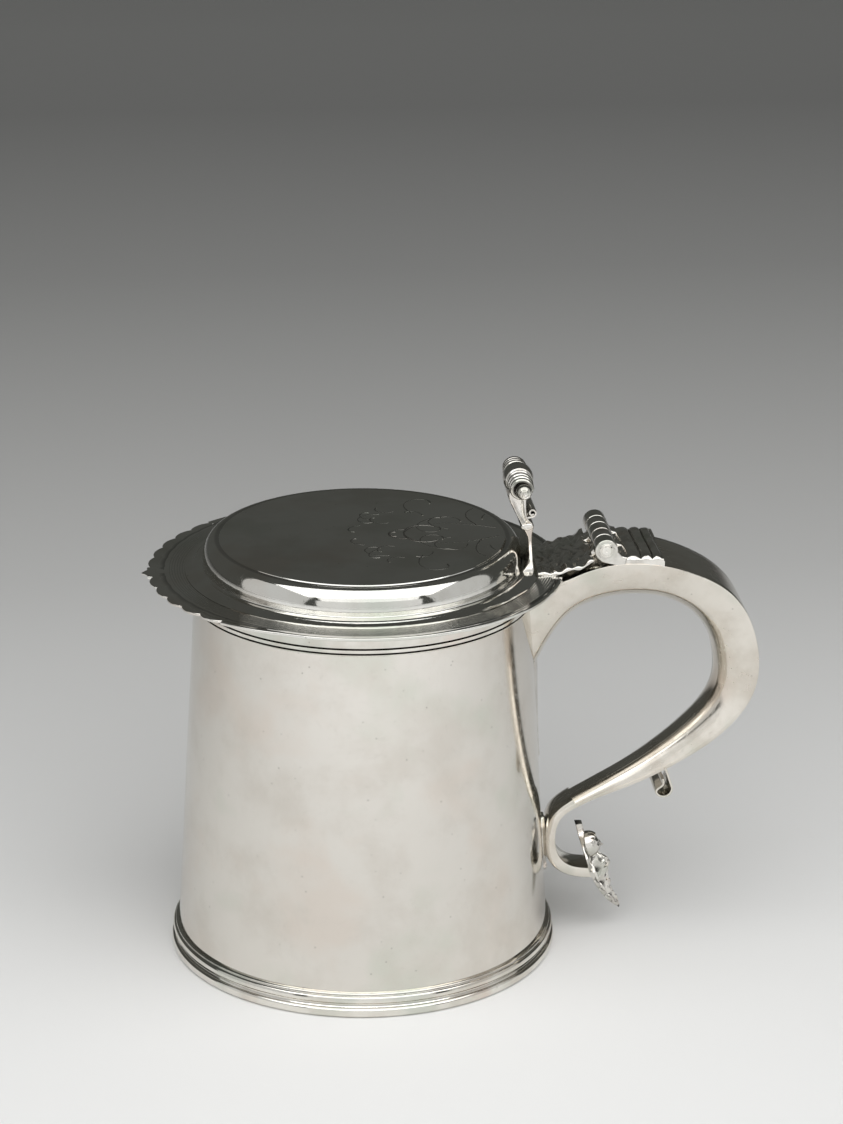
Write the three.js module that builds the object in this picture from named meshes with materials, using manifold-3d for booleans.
// A covered silver tankard: tapered drum, moulded base, stepped lid with a crenate lip, five-knuckle hinge,
// corkscrew thumbpiece and a hollow C-scroll handle that ends in a cast mask. Millimetres, +Z up.
import * as THREE from 'three';
import { mergeVertices } from 'three/addons/utils/BufferGeometryUtils.js';
import Module from 'manifold-3d';

const wasm = await Module();
wasm.setup();

// ---- driving dimensions -------------------------------------------------------------------------------

const gap = 0.3; // solder line or running gap between neighbouring pieces
const axisX = -31.85; // the drum's axis: the origin is the middle of the footprint, handle included

const drum = { bottomZ: 3.8, topZ: 142.1, bottomRadius: 67.5, topRadius: 59.4, wall: 1 };
const foot = { height: 3.5, inner: 63.5, outer: 70 };
const baseMoulding = { top: 9, reach: 1.9 };
const bottomDisc = { z: 6, thickness: 1, dish: 1.2 };
const lipMoulding = { bottomZ: 132.6, thickness: 0.7 };

const lid = { underZ: 142.4, sheet: 1.2, flange: 71.8, shoulder: 56.6, flat: 50.6, topZ: 155.2, inner: 55 };
const lip = { tip: 78.3, reach: 4.6, halfAngle: 62, scallop: 8, scallops: 5, depth: 1.3 };
const bezel = { depth: 4.7, outer: 57.3, taper: 0.4, wall: 1 };

const hinge = { x: 85, z: 152.6, radius: 4.1, pin: 2.5, width: 33.4, knuckles: 5 };
const leafWidth = 33;

const coil = { x: 55.2, z: 175, radius: 5.5, band: 10, turns: 3, pitch: 2.4, ball: 3.3 };
const stem = { x: 58.1, thickness: 1.4, width: 22, topZ: 158, footZ: 145.7 };
const bracketWidth = 16;
const volute = { x: 59.7, z: 164.2, radius: 1.9, width: 14 };

const strapThickness = 1.3;
const shellWall = 1;

const dropLength = { topZ: 107, tipZ: 66, halfWidth: 6.5, thickness: 1.5 };
const pad = { topZ: 45, bottomZ: 24, halfWidth: 6, thickness: 1.2 };
const roll = { x: 109.1, z: 57, radius: 3.4, sheet: 0.9, width: 17, from: 175, to: 380, hang: 7.6 };
const terminal = { thickness: 1.8, stations: 16, maskAt: 0.24, foliageFrom: 0.42, foliageTo: 0.96 };

// ---- shape helpers -------------------------------------------------------------------------------------

// One closed skin with shared corners, no empty triangles, and its faces pointing out.
function closed(geometry) {
  const bare = geometry.clone();
  bare.deleteAttribute('normal');
  bare.deleteAttribute('uv');
  const merged = mergeVertices(bare, 1e-4);
  const index = merged.index.array;
  const place = merged.attributes.position;
  const [a, b, c] = [new THREE.Vector3(), new THREE.Vector3(), new THREE.Vector3()];
  const kept = [];
  let volume = 0;
  for (let i = 0; i < index.length; i += 3) {
    const [p, q, r] = [index[i], index[i + 1], index[i + 2]];
    if (p === q || q === r || r === p) continue;
    kept.push(p, q, r);
    a.fromBufferAttribute(place, p);
    b.fromBufferAttribute(place, q);
    c.fromBufferAttribute(place, r);
    volume += a.dot(b.cross(c));
  }
  if (volume < 0) kept.reverse();
  merged.setIndex(kept);
  return merged;
}

function solid(geometry) {
  const skin = closed(geometry);
  const vertProperties = new Float32Array(skin.attributes.position.array);
  const triVerts = new Uint32Array(skin.index.array);
  return new wasm.Manifold(new wasm.Mesh({ numProp: 3, vertProperties, triVerts }));
}

function skinOf(manifold) {
  const mesh = manifold.getMesh();
  const geometry = new THREE.BufferGeometry();
  geometry.setAttribute('position', new THREE.BufferAttribute(new Float32Array(mesh.vertProperties), 3));
  geometry.setIndex([...mesh.triVerts]);
  return geometry;
}

// A ring or a disc about +Z from its half section, a list of [radius, height].
function turned(profile, sides = 56) {
  const points = profile.map(([radius, height]) => new THREE.Vector2(radius, height));
  return new THREE.LatheGeometry(points, sides).rotateX(Math.PI / 2);
}

// A turned solid lying along Y, from a half section of [radius, y].
function turnedAlongY(profile, x, z, sides = 32) {
  const points = profile.map(([radius, y]) => new THREE.Vector2(radius, y));
  return new THREE.LatheGeometry(points, sides).translate(x, 0, z);
}

// A side view of [x, z] corners, given its width across Y.
function cutAcross(outline, y0, y1) {
  const shape = new THREE.Shape(outline.map(([x, z]) => new THREE.Vector2(x, z)));
  const geometry = new THREE.ExtrudeGeometry(shape, { depth: y1 - y0, bevelEnabled: false });
  return geometry.rotateX(Math.PI / 2).translate(0, y1, 0);
}

function rodAlongY(x, z, radius, y0, y1, sides = 32) {
  return new THREE.CylinderGeometry(radius, radius, y1 - y0, sides).translate(x, (y0 + y1) / 2, z);
}

// A skin over a row of sections. Each section is a flat ring of [inward, sideways] pairs.
function loft(stations) {
  const count = stations[0].section.length;
  const place = [];
  for (const { origin, inward, section } of stations) {
    for (const [a, y] of section) place.push(origin.x + inward.x * a, y, origin.z + inward.z * a);
  }
  const index = [];
  for (let s = 0; s + 1 < stations.length; s += 1) {
    for (let k = 0; k < count; k += 1) {
      const [p, q] = [s * count + k, s * count + ((k + 1) % count)];
      index.push(p, q, q + count, p, q + count, p + count);
    }
  }
  const flatOf = (section) => section.map(([a, y]) => new THREE.Vector2(a, y));
  const capOf = (section) => THREE.ShapeUtils.triangulateShape(flatOf(section), []);
  const last = (stations.length - 1) * count;
  const clockwise = THREE.ShapeUtils.isClockWise(flatOf(stations[0].section));
  for (const [i, j, k] of capOf(stations[0].section)) index.push(...(clockwise ? [i, j, k] : [i, k, j]));
  for (const [i, j, k] of capOf(stations[stations.length - 1].section)) {
    index.push(...(clockwise ? [last + i, last + k, last + j] : [last + i, last + j, last + k]));
  }
  const geometry = new THREE.BufferGeometry();
  geometry.setAttribute('position', new THREE.BufferAttribute(new Float32Array(place), 3));
  geometry.setIndex(index);
  return geometry;
}

const arc = (x, z, radius, from, to, steps) => Array.from({ length: steps + 1 }, (_, i) => {
  const angle = THREE.MathUtils.degToRad(from + ((to - from) * i) / steps);
  return [x + radius * Math.cos(angle), z + radius * Math.sin(angle)];
});

// ---- the group and its pieces ------------------------------------------------------------------------

const tankard = new THREE.Group();
const silver = new THREE.MeshStandardMaterial({ color: 0xcfccc6, roughness: 0.22, metalness: 1 });
const castSilver = new THREE.MeshStandardMaterial({ color: 0xbdbab3, roughness: 0.35, metalness: 1 });
const steel = new THREE.MeshStandardMaterial({ color: 0xd8d5cf, roughness: 0.3, metalness: 1 });

function add(name, geometry, material = silver) {
  const mesh = new THREE.Mesh(closed(geometry), material);
  mesh.name = name;
  mesh.position.x = axisX;
  tankard.add(mesh);
}

const drumSlope = (drum.topRadius - drum.bottomRadius) / (drum.topZ - drum.bottomZ);
const drumRadius = (z) => drum.bottomRadius + drumSlope * (z - drum.bottomZ);

// Everything within `extra` of the drum's outside, lip ring included, to fit pieces against it.
function drumGrown(extra) {
  const lipStep = gap + lipMoulding.thickness;
  return solid(turned([
    [0, 1], [drumRadius(1) + extra, 1],
    [drumRadius(lipMoulding.bottomZ - gap) + extra, lipMoulding.bottomZ - gap],
    [drumRadius(lipMoulding.bottomZ) + lipStep + extra, lipMoulding.bottomZ - gap],
    [drumRadius(lipMoulding.bottomZ) + lipStep + extra, drum.topZ + 6], [0, drum.topZ + 6],
  ]));
}

function makeBody() {
  const { bottomZ, topZ, bottomRadius, topRadius, wall } = drum;
  add('body_drum', turned([
    [bottomRadius, bottomZ], [topRadius, topZ], [topRadius - wall, topZ],
    [bottomRadius - wall, bottomZ], [bottomRadius, bottomZ],
  ]));
  const discEdge = drumRadius(bottomDisc.z) - wall - gap;
  add('base_disc', turned([
    [0, bottomDisc.z + bottomDisc.dish], [discEdge * 0.7, bottomDisc.z + bottomDisc.dish * 0.6],
    [discEdge, bottomDisc.z], [discEdge, bottomDisc.z + bottomDisc.thickness],
    [discEdge * 0.7, bottomDisc.z + bottomDisc.dish * 0.6 + bottomDisc.thickness],
    [0, bottomDisc.z + bottomDisc.dish + bottomDisc.thickness],
  ]));
  const { height, inner, outer } = foot;
  add('foot_ring', turned([
    [inner, 0], [outer - 0.9, 0], [outer - 0.2, 0.5], [outer, 1.8], [outer - 0.3, height - 0.4],
    [outer - 0.8, height], [inner, height], [inner, 0],
  ]));
  const bore = drumRadius(height + gap) + gap;
  const boreTop = drumRadius(baseMoulding.top) + gap;
  const crown = boreTop + baseMoulding.reach;
  add('base_moulding', turned([
    [bore, height + gap], [crown - 0.7, height + gap], [crown - 0.9, 4.9], [crown - 0.1, 5.9],
    [crown, 6.8], [crown - 0.3, 7.7], [crown - 0.9, 8.1], [crown - 1.1, 8.8],
    [boreTop + 0.5, baseMoulding.top], [boreTop, baseMoulding.top], [bore, height + gap],
  ]));
  const ringInner = drumRadius(lipMoulding.bottomZ) + gap;
  const ringOuter = ringInner + lipMoulding.thickness;
  const { bottomZ: ringZ } = lipMoulding;
  add('lip_moulding', turned([
    [ringInner, ringZ], [ringOuter - 0.2, ringZ], [ringOuter, ringZ + 0.5], [ringOuter, ringZ + 1.6],
    [ringOuter - 0.3, ringZ + 2.1], [ringOuter, ringZ + 2.6], [ringOuter, topZ - 0.5],
    [ringOuter - 0.3, topZ], [ringInner, topZ], [ringInner, ringZ],
  ]));
}

// The flange's edge at an angle from the front: round, then widened to a scalloped point.
function lipRadius(degrees) {
  const away = Math.abs(degrees);
  const swell = lip.reach * Math.cos(THREE.MathUtils.degToRad((90 * away) / lip.halfAngle)) ** 0.9;
  const round = lid.flange - 0.4 + swell;
  const point = lip.tip - lid.flange + 0.4 - lip.reach;
  if (away < lip.scallop / 2) return round + point * (1 - (2 * away) / lip.scallop);
  const phase = ((away - lip.scallop / 2) / lip.scallop) % 1;
  const fade = away < lip.scallop * (lip.scallops + 0.5) ? 1 : 0;
  return round - lip.depth * fade * (1 - Math.sin(Math.PI * phase));
}

function makeLid() {
  const { underZ, sheet, flange, shoulder, flat, topZ, inner } = lid;
  const flangeZ = underZ + sheet;
  const cover = solid(turned([
    [0, topZ], [flat, topZ - 0.1], [flat + 0.9, topZ - 0.5], [flat + 2.2, topZ - 0.4],
    [shoulder - 1.6, topZ - 1.9], [shoulder - 0.4, topZ - 3.8], [shoulder, topZ - 6.4],
    [shoulder + 0.2, flangeZ + 2.2],
    [shoulder + 0.9, flangeZ + 1.5], [shoulder + 1.8, flangeZ + 1.2], [shoulder + 3.4, flangeZ + 0.4],
    [shoulder + 6.2, flangeZ], [flange - 0.2, flangeZ], [flange, flangeZ - 0.4], [flange, underZ + 0.3],
    [flange - 0.3, underZ], [inner, underZ], [inner, topZ - 6.6], [inner - 1, topZ - 4],
    [inner - 2.6, topZ - 2.2], [inner - 4.6, topZ - sheet], [0, topZ - sheet],
  ]));
  const edge = [];
  for (let degrees = -lip.halfAngle; degrees <= lip.halfAngle; degrees += 2) {
    const angle = THREE.MathUtils.degToRad(180 + degrees);
    edge.push(new THREE.Vector2(Math.cos(angle), Math.sin(angle)).multiplyScalar(lipRadius(degrees)));
  }
  for (let degrees = lip.halfAngle; degrees >= -lip.halfAngle; degrees -= 4) {
    const angle = THREE.MathUtils.degToRad(180 + degrees);
    edge.push(new THREE.Vector2(Math.cos(angle), Math.sin(angle)).multiplyScalar(flange - 4));
  }
  const plain = { depth: sheet - 0.1, bevelEnabled: false };
  const tongue = new THREE.ExtrudeGeometry(new THREE.Shape(edge), plain);
  add('lid_cover', skinOf(cover.add(solid(tongue.translate(0, 0, underZ + 0.05)))));
  const top = underZ - gap;
  add('lid_bezel', turned([
    [bezel.outer - bezel.wall, top], [bezel.outer - bezel.wall - bezel.taper, top - bezel.depth],
    [bezel.outer - bezel.taper, top - bezel.depth], [bezel.outer, top], [bezel.outer - bezel.wall, top],
  ]));
}

// ---- handle ------------------------------------------------------------------------------------------

// Pairs along the handle: the strap's outer face and the crest of the inner face, each [x, z], then the
// handle's width there and how far the inner face is bowed.
const handleRun = [
  [[50, 136], [57, 99], 29, 3], [[60.5, 138.9], [62.4, 107.5], 30.5, 3],
  [[70, 141.2], [67.6, 118.6], 32.5, 3.5], [[78, 144.9], [75, 127], 33, 4],
  [[88, 147.3], [86.5, 131.4], 33, 4.3], [[99, 147.4], [98, 132.2], 33, 4.5],
  [[110, 145.1], [107.5, 130.6], 31.5, 4.8], [[121, 140.8], [115.8, 126.4], 29.5, 5.2],
  [[131, 134.2], [122.2, 120], 28, 5.6], [[138, 124], [126, 111.8], 26.5, 6],
  [[141.8, 110], [127.3, 103], 25, 6.2], [[141.3, 97], [127, 97.5], 23.5, 6],
  [[136, 86.2], [125, 91.5], 22, 5.6], [[127, 76.8], [119.8, 84.8], 21, 5],
  [[115, 68.4], [109.8, 76.4], 19, 4.6], [[101, 60.8], [97.6, 68.3], 17, 4],
  [[87, 55.3], [84.6, 60.8], 15.5, 3.2], [[77, 50.2], [74.3, 54], 14.5, 2.4],
  [[72, 46], [68.9, 48.4], 14, 1.6], [[70.2, 41.5], [66.6, 43], 13.5, 1.2],
  [[69.9, 36], [66.2, 35.4], 13, 1.2], [[71.2, 31], [67.4, 28.6], 12.5, 1.2],
  [[74.2, 27.5], [71.4, 23.9], 12, 1.2], [[78.6, 25.8], [77.7, 21.3], 12, 1.2],
  [[86.6, 25.4], [86.6, 20.7], 12, 1.2],
];
const tipStart = 17; // the cast tip takes over from the hollow handle here
const tipMeetsPlate = 0.45; // and ends against the terminal this far down it
const rail = (column) => new THREE.CatmullRomCurve3(
  handleRun.map((pair) => new THREE.Vector3(pair[column][0], 0, pair[column][1])),
  false,
  'centripetal',
);
const outerRail = rail(0);
const innerRail = rail(1);

function handleStation(place) {
  const u = place / (handleRun.length - 1);
  const origin = outerRail.getPoint(u);
  const inward = innerRail.getPoint(u).sub(origin);
  const depth = inward.length();
  const low = Math.min(Math.floor(place), handleRun.length - 2);
  const width = THREE.MathUtils.lerp(handleRun[low][2], handleRun[low + 1][2], place - low);
  const bow = THREE.MathUtils.lerp(handleRun[low][3], handleRun[low + 1][3], place - low);
  return { origin, inward: inward.normalize(), depth, width, bow };
}

function handleLoft(from, to, steps, sectionOf) {
  return loft(Array.from({ length: steps + 1 }, (_, i) => {
    const station = handleStation(from + ((to - from) * i) / steps);
    return { ...station, section: sectionOf(station) };
  }));
}

const bowedSide = (half, start, depth, bow) => [
  [start, half], [depth - bow, half], [depth - bow * 0.55, half * 0.86], [depth - bow * 0.18, half * 0.55],
  [depth, half * 0.18],
];
const mirrored = (side) => side.map(([a, y]) => [a, -y]).reverse();

function makeHandle() {
  const room = drumGrown(gap);
  const hollowEnd = tipStart - 0.04;
  const strap = handleLoft(0, hollowEnd, 40, ({ width }) => [
    [0, -width / 2], [0, width / 2], [strapThickness, width / 2], [strapThickness, -width / 2],
  ]);
  add('handle_strap', skinOf(solid(strap).subtract(room)));
  const shell = handleLoft(0, hollowEnd, 40, ({ width, depth, bow }) => {
    const start = strapThickness + gap;
    const outside = bowedSide(width / 2, start, depth, bow);
    const inside = bowedSide(width / 2 - shellWall, start, depth - shellWall, bow);
    return [...outside, ...mirrored(outside), ...[...inside, ...mirrored(inside)].reverse()];
  });
  add('handle_shell', skinOf(solid(shell).subtract(room)));
  const tip = handleLoft(tipStart + 0.04, handleRun.length - 1, 24, ({ width, depth, bow }) => {
    const side = [[0, width / 2], [depth - bow, width / 2], [depth, width * 0.3]];
    return [...side, ...mirrored(side)];
  });
  const { origin, inward } = plateStation(tipMeetsPlate);
  const beyondPlate = new THREE.BoxGeometry(30, 60, 36).translate(15 - gap, 0, -8);
  beyondPlate.rotateY(-Math.atan2(inward.z, inward.x)).translate(origin.x, 0, origin.z);
  const fitted = solid(tip).subtract(drumGrown(gap * 2 + pad.thickness)).subtract(solid(beyondPlate));
  add('handle_tip', skinOf(fitted), castSilver);
}

// Pieces that lie on the drum: a front view of [y, z] corners, as thick as stated.
function onDrum(outline, thickness) {
  const shape = new THREE.Shape(outline.map(([y, z]) => new THREE.Vector2(y, z)));
  const slab = new THREE.ExtrudeGeometry(shape, { depth: 40, bevelEnabled: false });
  slab.rotateX(Math.PI / 2).rotateZ(Math.PI / 2).translate(40, 0, 0);
  return solid(slab).intersect(drumGrown(gap + thickness)).subtract(drumGrown(gap));
}

const mirroredAcross = (side) => side.map(([y, z]) => [-y, z]).reverse();

function makeDrumFittings() {
  const { topZ, tipZ, halfWidth, thickness } = dropLength;
  const side = [];
  for (let i = 0; i <= 10; i += 1) {
    side.push([halfWidth * (1 - i / 10) ** 0.8 + 0.5, topZ + (tipZ - topZ) * (i / 10)]);
  }
  const belowRoot = onDrum([...side, ...mirroredAcross(side)], thickness);
  add('handle_drop', skinOf(belowRoot.subtract(solid(handleBlank()))), castSilver);
  const padSide = [];
  for (let i = 0; i <= 8; i += 1) {
    const half = pad.halfWidth * Math.sin((Math.PI * (i + 0.8)) / 9.6);
    padSide.push([half, pad.topZ + ((pad.bottomZ - pad.topZ) * i) / 8]);
  }
  add('handle_pad', skinOf(onDrum([...padSide, ...mirroredAcross(padSide)], pad.thickness)), castSilver);
}

// The whole handle root as one block, a solder line larger than the handle.
function handleBlank() {
  return handleLoft(0, 3, 9, ({ width, depth }) => {
    const half = width / 2 + gap;
    return [[0, -half], [0, half], [depth + gap, half], [depth + gap, -half]];
  });
}

// A strip curled into an open ring below the handle, hanging from the strap by its straight end.
function makeRoll() {
  const { x, z, radius, sheet, width, from, to, hang } = roll;
  const outside = arc(x, z, radius, from, to, 16);
  const inside = arc(x, z, radius - sheet, to, from, 16);
  const way = THREE.MathUtils.degToRad(to + 90);
  const upTo = ([startX, startZ]) => [startX + hang * Math.cos(way), startZ + hang * Math.sin(way)];
  const hung = [...outside, upTo(outside[outside.length - 1]), upTo(inside[0]), ...inside];
  const strip = solid(cutAcross(hung, -width / 2, width / 2));
  const strapRoom = solid(handleLoft(11, 16, 24, ({ width: wide, depth }) => {
    const half = wide / 2 + 1;
    return [[-gap, -half], [-gap, half], [depth, half], [depth, -half]];
  }));
  add('handle_roll', skinOf(strip.subtract(strapRoom)));
}

// ---- cast terminal -----------------------------------------------------------------------------------

// The back of the curved plate, from its top tab down to its tail, [x, z].
const plateBack = new THREE.CatmullRomCurve3([
  [77.9, 41.3], [79.2, 36], [80.8, 30.5], [82.6, 24.3], [84.6, 19.5], [87, 15.2], [90.4, 10.6], [94.6, 7],
].map(([x, z]) => new THREE.Vector3(x, 0, z)));

// A place on the plate: its back, and the way that it faces.
function plateStation(share) {
  const origin = plateBack.getPoint(share);
  const down = plateBack.getTangent(share);
  return { origin, inward: new THREE.Vector3(-down.z, 0, down.x) };
}

function plateLoft(from, to, sectionOf) {
  const { stations } = terminal;
  const first = Math.round(from * stations);
  const last = Math.round(to * stations);
  return loft(Array.from({ length: last - first + 1 }, (_, i) => {
    const share = (first + i) / stations;
    return { ...plateStation(share), section: sectionOf(share) };
  }));
}

// Value at a share of the way through a row of evenly spaced values.
function along(values, share) {
  const place = Math.min(share * (values.length - 1), values.length - 1.001);
  const low = Math.floor(place);
  return THREE.MathUtils.lerp(values[low], values[low + 1], place - low);
}

function makeTerminal() {
  const { thickness, maskAt, foliageFrom, foliageTo } = terminal;
  const plateHalves = [2.4, 2.8, 7.4, 10.6, 9.6, 6.8, 6.2, 5, 4, 3, 1];
  add('terminal_plate', plateLoft(0, 1, (share) => {
    const half = along(plateHalves, share);
    return [[0, -half], [0, half], [thickness, half], [thickness, -half]];
  }), castSilver);
  const { origin, inward } = plateStation(maskAt);
  const head = solid(new THREE.SphereGeometry(1, 18, 12).scale(4.4, 5, 5.3));
  const front = solid(new THREE.BoxGeometry(20, 20, 10).translate(0, 0, 5));
  const mask = skinOf(head.intersect(front)).rotateX(Math.PI / 2).rotateZ(Math.PI / 2);
  mask.rotateY(-Math.atan2(inward.z, inward.x));
  const stand = thickness + gap;
  mask.translate(origin.x + inward.x * stand, 0, origin.z + inward.z * stand);
  add('terminal_mask', mask, castSilver);
  const heights = [7.6, 7.8, 5.6, 4.8, 4.6, 3];
  const foliageHalves = [4.2, 4, 3.2, 2.6, 2, 0.8];
  add('terminal_foliage', plateLoft(foliageFrom, foliageTo, (share) => {
    const place = Math.min(1, Math.max(0, (share - foliageFrom) / (foliageTo - foliageFrom)));
    const half = along(foliageHalves, place);
    const top = along(heights, place);
    return [[stand, -half], [stand, half], [top, half * 0.5], [top, -half * 0.5]];
  }), castSilver);
}

// ---- hinge -------------------------------------------------------------------------------------------

const knuckleLength = (hinge.width - gap * (hinge.knuckles - 1)) / hinge.knuckles;
const knuckleSpan = (number) => {
  const y0 = -hinge.width / 2 + number * (knuckleLength + gap);
  return [y0, y0 + knuckleLength];
};
const barrelHole = () => solid(rodAlongY(hinge.x, hinge.z, hinge.pin + gap, -40, 40));

// A leaf with its own knuckles: `web` is the side view of what joins a knuckle to the leaf.
function hingeLeaf(leafOutline, web, own) {
  let piece = solid(cutAcross(leafOutline, -leafWidth / 2, leafWidth / 2));
  for (let number = 0; number < hinge.knuckles; number += 1) {
    const [y0, y1] = knuckleSpan(number);
    if (own.includes(number)) {
      const barrel = solid(rodAlongY(hinge.x, hinge.z, hinge.radius, y0, y1));
      piece = piece.add(solid(cutAcross(web, y0, y1))).add(barrel);
    }
  }
  for (let number = 0; number < hinge.knuckles; number += 1) {
    const [y0, y1] = knuckleSpan(number);
    if (own.includes(number)) continue;
    piece = piece.subtract(solid(rodAlongY(hinge.x, hinge.z, hinge.radius + gap * 1.5, y0 - gap, y1 + gap)));
  }
  return skinOf(piece.subtract(barrelHole()));
}

// Transverse ridges along a leaf, as a wavy top edge from one end to the other.
function ridges(x0, z0, x1, z1, count, height) {
  const steps = count * 4;
  return Array.from({ length: steps + 1 }, (_, i) => {
    const t = i / steps;
    return [x0 + (x1 - x0) * t, z0 + (z1 - z0) * t + height * Math.sin(Math.PI * count * t) ** 2];
  });
}

function makeHinge() {
  const top = lid.underZ + lid.sheet + gap;
  const lidLeaf = [
    [60.7, top + 1.7], [62.8, top + 1.2], [64.6, top + 0.2], [72.2, top + 0.1], [76, 145.8], [80.6, 147.8],
    ...ridges(80.6, 150.4, 60.7, 146.6, 4, 0.9),
  ];
  const lidWeb = [[79, 147.4], [84, 149.2], [84, 153.4], [79, 151]];
  add('lid_hinge_leaf', hingeLeaf(lidLeaf, lidWeb, [1, 3]), castSilver);
  const underside = [];
  for (let x = 89.2; x <= 105.8; x += 3.32) underside.push([x, strapTop(x) + gap + 0.1]);
  const reeds = ridges(105.4, 150.2, 90.4, 150.2, 3, 1.2);
  const handleLeaf = [...underside, [105.8, 150], ...reeds, [89.2, 149.8]];
  const onStrap = [[87, strapTop(87) + gap + 0.2], [90, strapTop(90) + gap + 0.1]];
  const handleWeb = [[84.8, 148.6], ...onStrap, [91, 150.2], [87.6, 151.6]];
  add('handle_hinge_leaf', hingeLeaf(handleLeaf, handleWeb, [0, 2, 4]), castSilver);
  const reach = hinge.width / 2 + 0.2;
  add('hinge_pin', rodAlongY(hinge.x, hinge.z, hinge.pin, -reach, reach), steel);
}

// Height of the strap's outer face over the stretch where the hinge leaf sits on it.
function strapTop(x) {
  let best = outerRail.getPoint(0);
  for (let u = 0; u <= 0.4; u += 0.002) {
    const here = outerRail.getPoint(u);
    if (Math.abs(here.x - x) < Math.abs(best.x - x)) best = here;
  }
  return best.z;
}

// ---- thumbpiece --------------------------------------------------------------------------------------

function makeThumbpiece() {
  const { x, thickness, width, topZ, footZ } = stem;
  const half = width / 2;
  const front = new THREE.Shape();
  front.moveTo(-half - 3, footZ);
  front.quadraticCurveTo(-half, footZ + 1.5, -half + 1, footZ + 6);
  front.lineTo(-8, topZ);
  front.lineTo(8, topZ);
  front.lineTo(half - 1, footZ + 6);
  front.quadraticCurveTo(half, footZ + 1.5, half + 3, footZ);
  const plate = new THREE.ExtrudeGeometry(front, { depth: thickness, bevelEnabled: false, curveSegments: 6 });
  add('thumb_stem', plate.rotateX(Math.PI / 2).rotateZ(Math.PI / 2).translate(x, 0, 0), castSilver);
  const bracket = [
    [56.4, topZ + gap], [59.9, topZ + gap], [60.2, 159.4], [59.8, 160.6], [58.2, 161.8], [57.5, 163.2],
    [57.3, 165.8], [57.4, 168], [57.6, 171], [51.2, 172.4], [50.9, 170.4], [51.4, 168.4], [52.6, 166.2],
    [54, 163.6], [55.3, 160.9], [55.7, 159.2],
  ];
  const coilRoom = solid(rodAlongY(coil.x, coil.z, coil.radius + gap, -30, 30));
  const voluteRoom = solid(rodAlongY(volute.x, volute.z, volute.radius + gap, -30, 30));
  const scroll = solid(cutAcross(bracket, -bracketWidth / 2, bracketWidth / 2));
  add('thumb_scroll', skinOf(scroll.subtract(coilRoom).subtract(voluteRoom)), castSilver);
  const curl = rodAlongY(volute.x, volute.z, volute.radius, -volute.width / 2, volute.width / 2, 24);
  add('thumb_volute', curl, castSilver);
  const side = [[coil.radius, 0], [coil.radius, coil.band / 2]];
  for (let turn = 0; turn < coil.turns; turn += 1) {
    const start = coil.band / 2 + turn * coil.pitch;
    const crest = coil.radius - 0.3 - 0.35 * turn;
    const [rise, fall] = [start + coil.pitch * 0.4, start + coil.pitch * 0.75];
    side.push([crest - 1, start + 0.15], [crest, rise], [crest, fall]);
  }
  const end = coil.band / 2 + coil.turns * coil.pitch;
  side.push([2.4, end], [0, end]);
  const otherSide = side.slice(1).map(([radius, y]) => [radius, -y]).reverse();
  add('thumb_coil', turnedAlongY([...otherSide, ...side], coil.x, coil.z, 24), castSilver);
  for (const [name, way] of [['thumb_button_near', -1], ['thumb_button_far', 1]]) {
    const seat = end + gap;
    const ball = [[0, seat], ...arc(0, seat + coil.ball * 0.7, coil.ball, -44, 90, 6)];
    const outline = ball.map(([radius, y]) => [Math.max(radius, 0), way * y]);
    add(name, turnedAlongY(outline, coil.x, coil.z, 16), castSilver);
  }
}

makeBody();
makeLid();
makeHandle();
makeDrumFittings();
makeRoll();
makeTerminal();
makeHinge();
makeThumbpiece();

export default tankard;
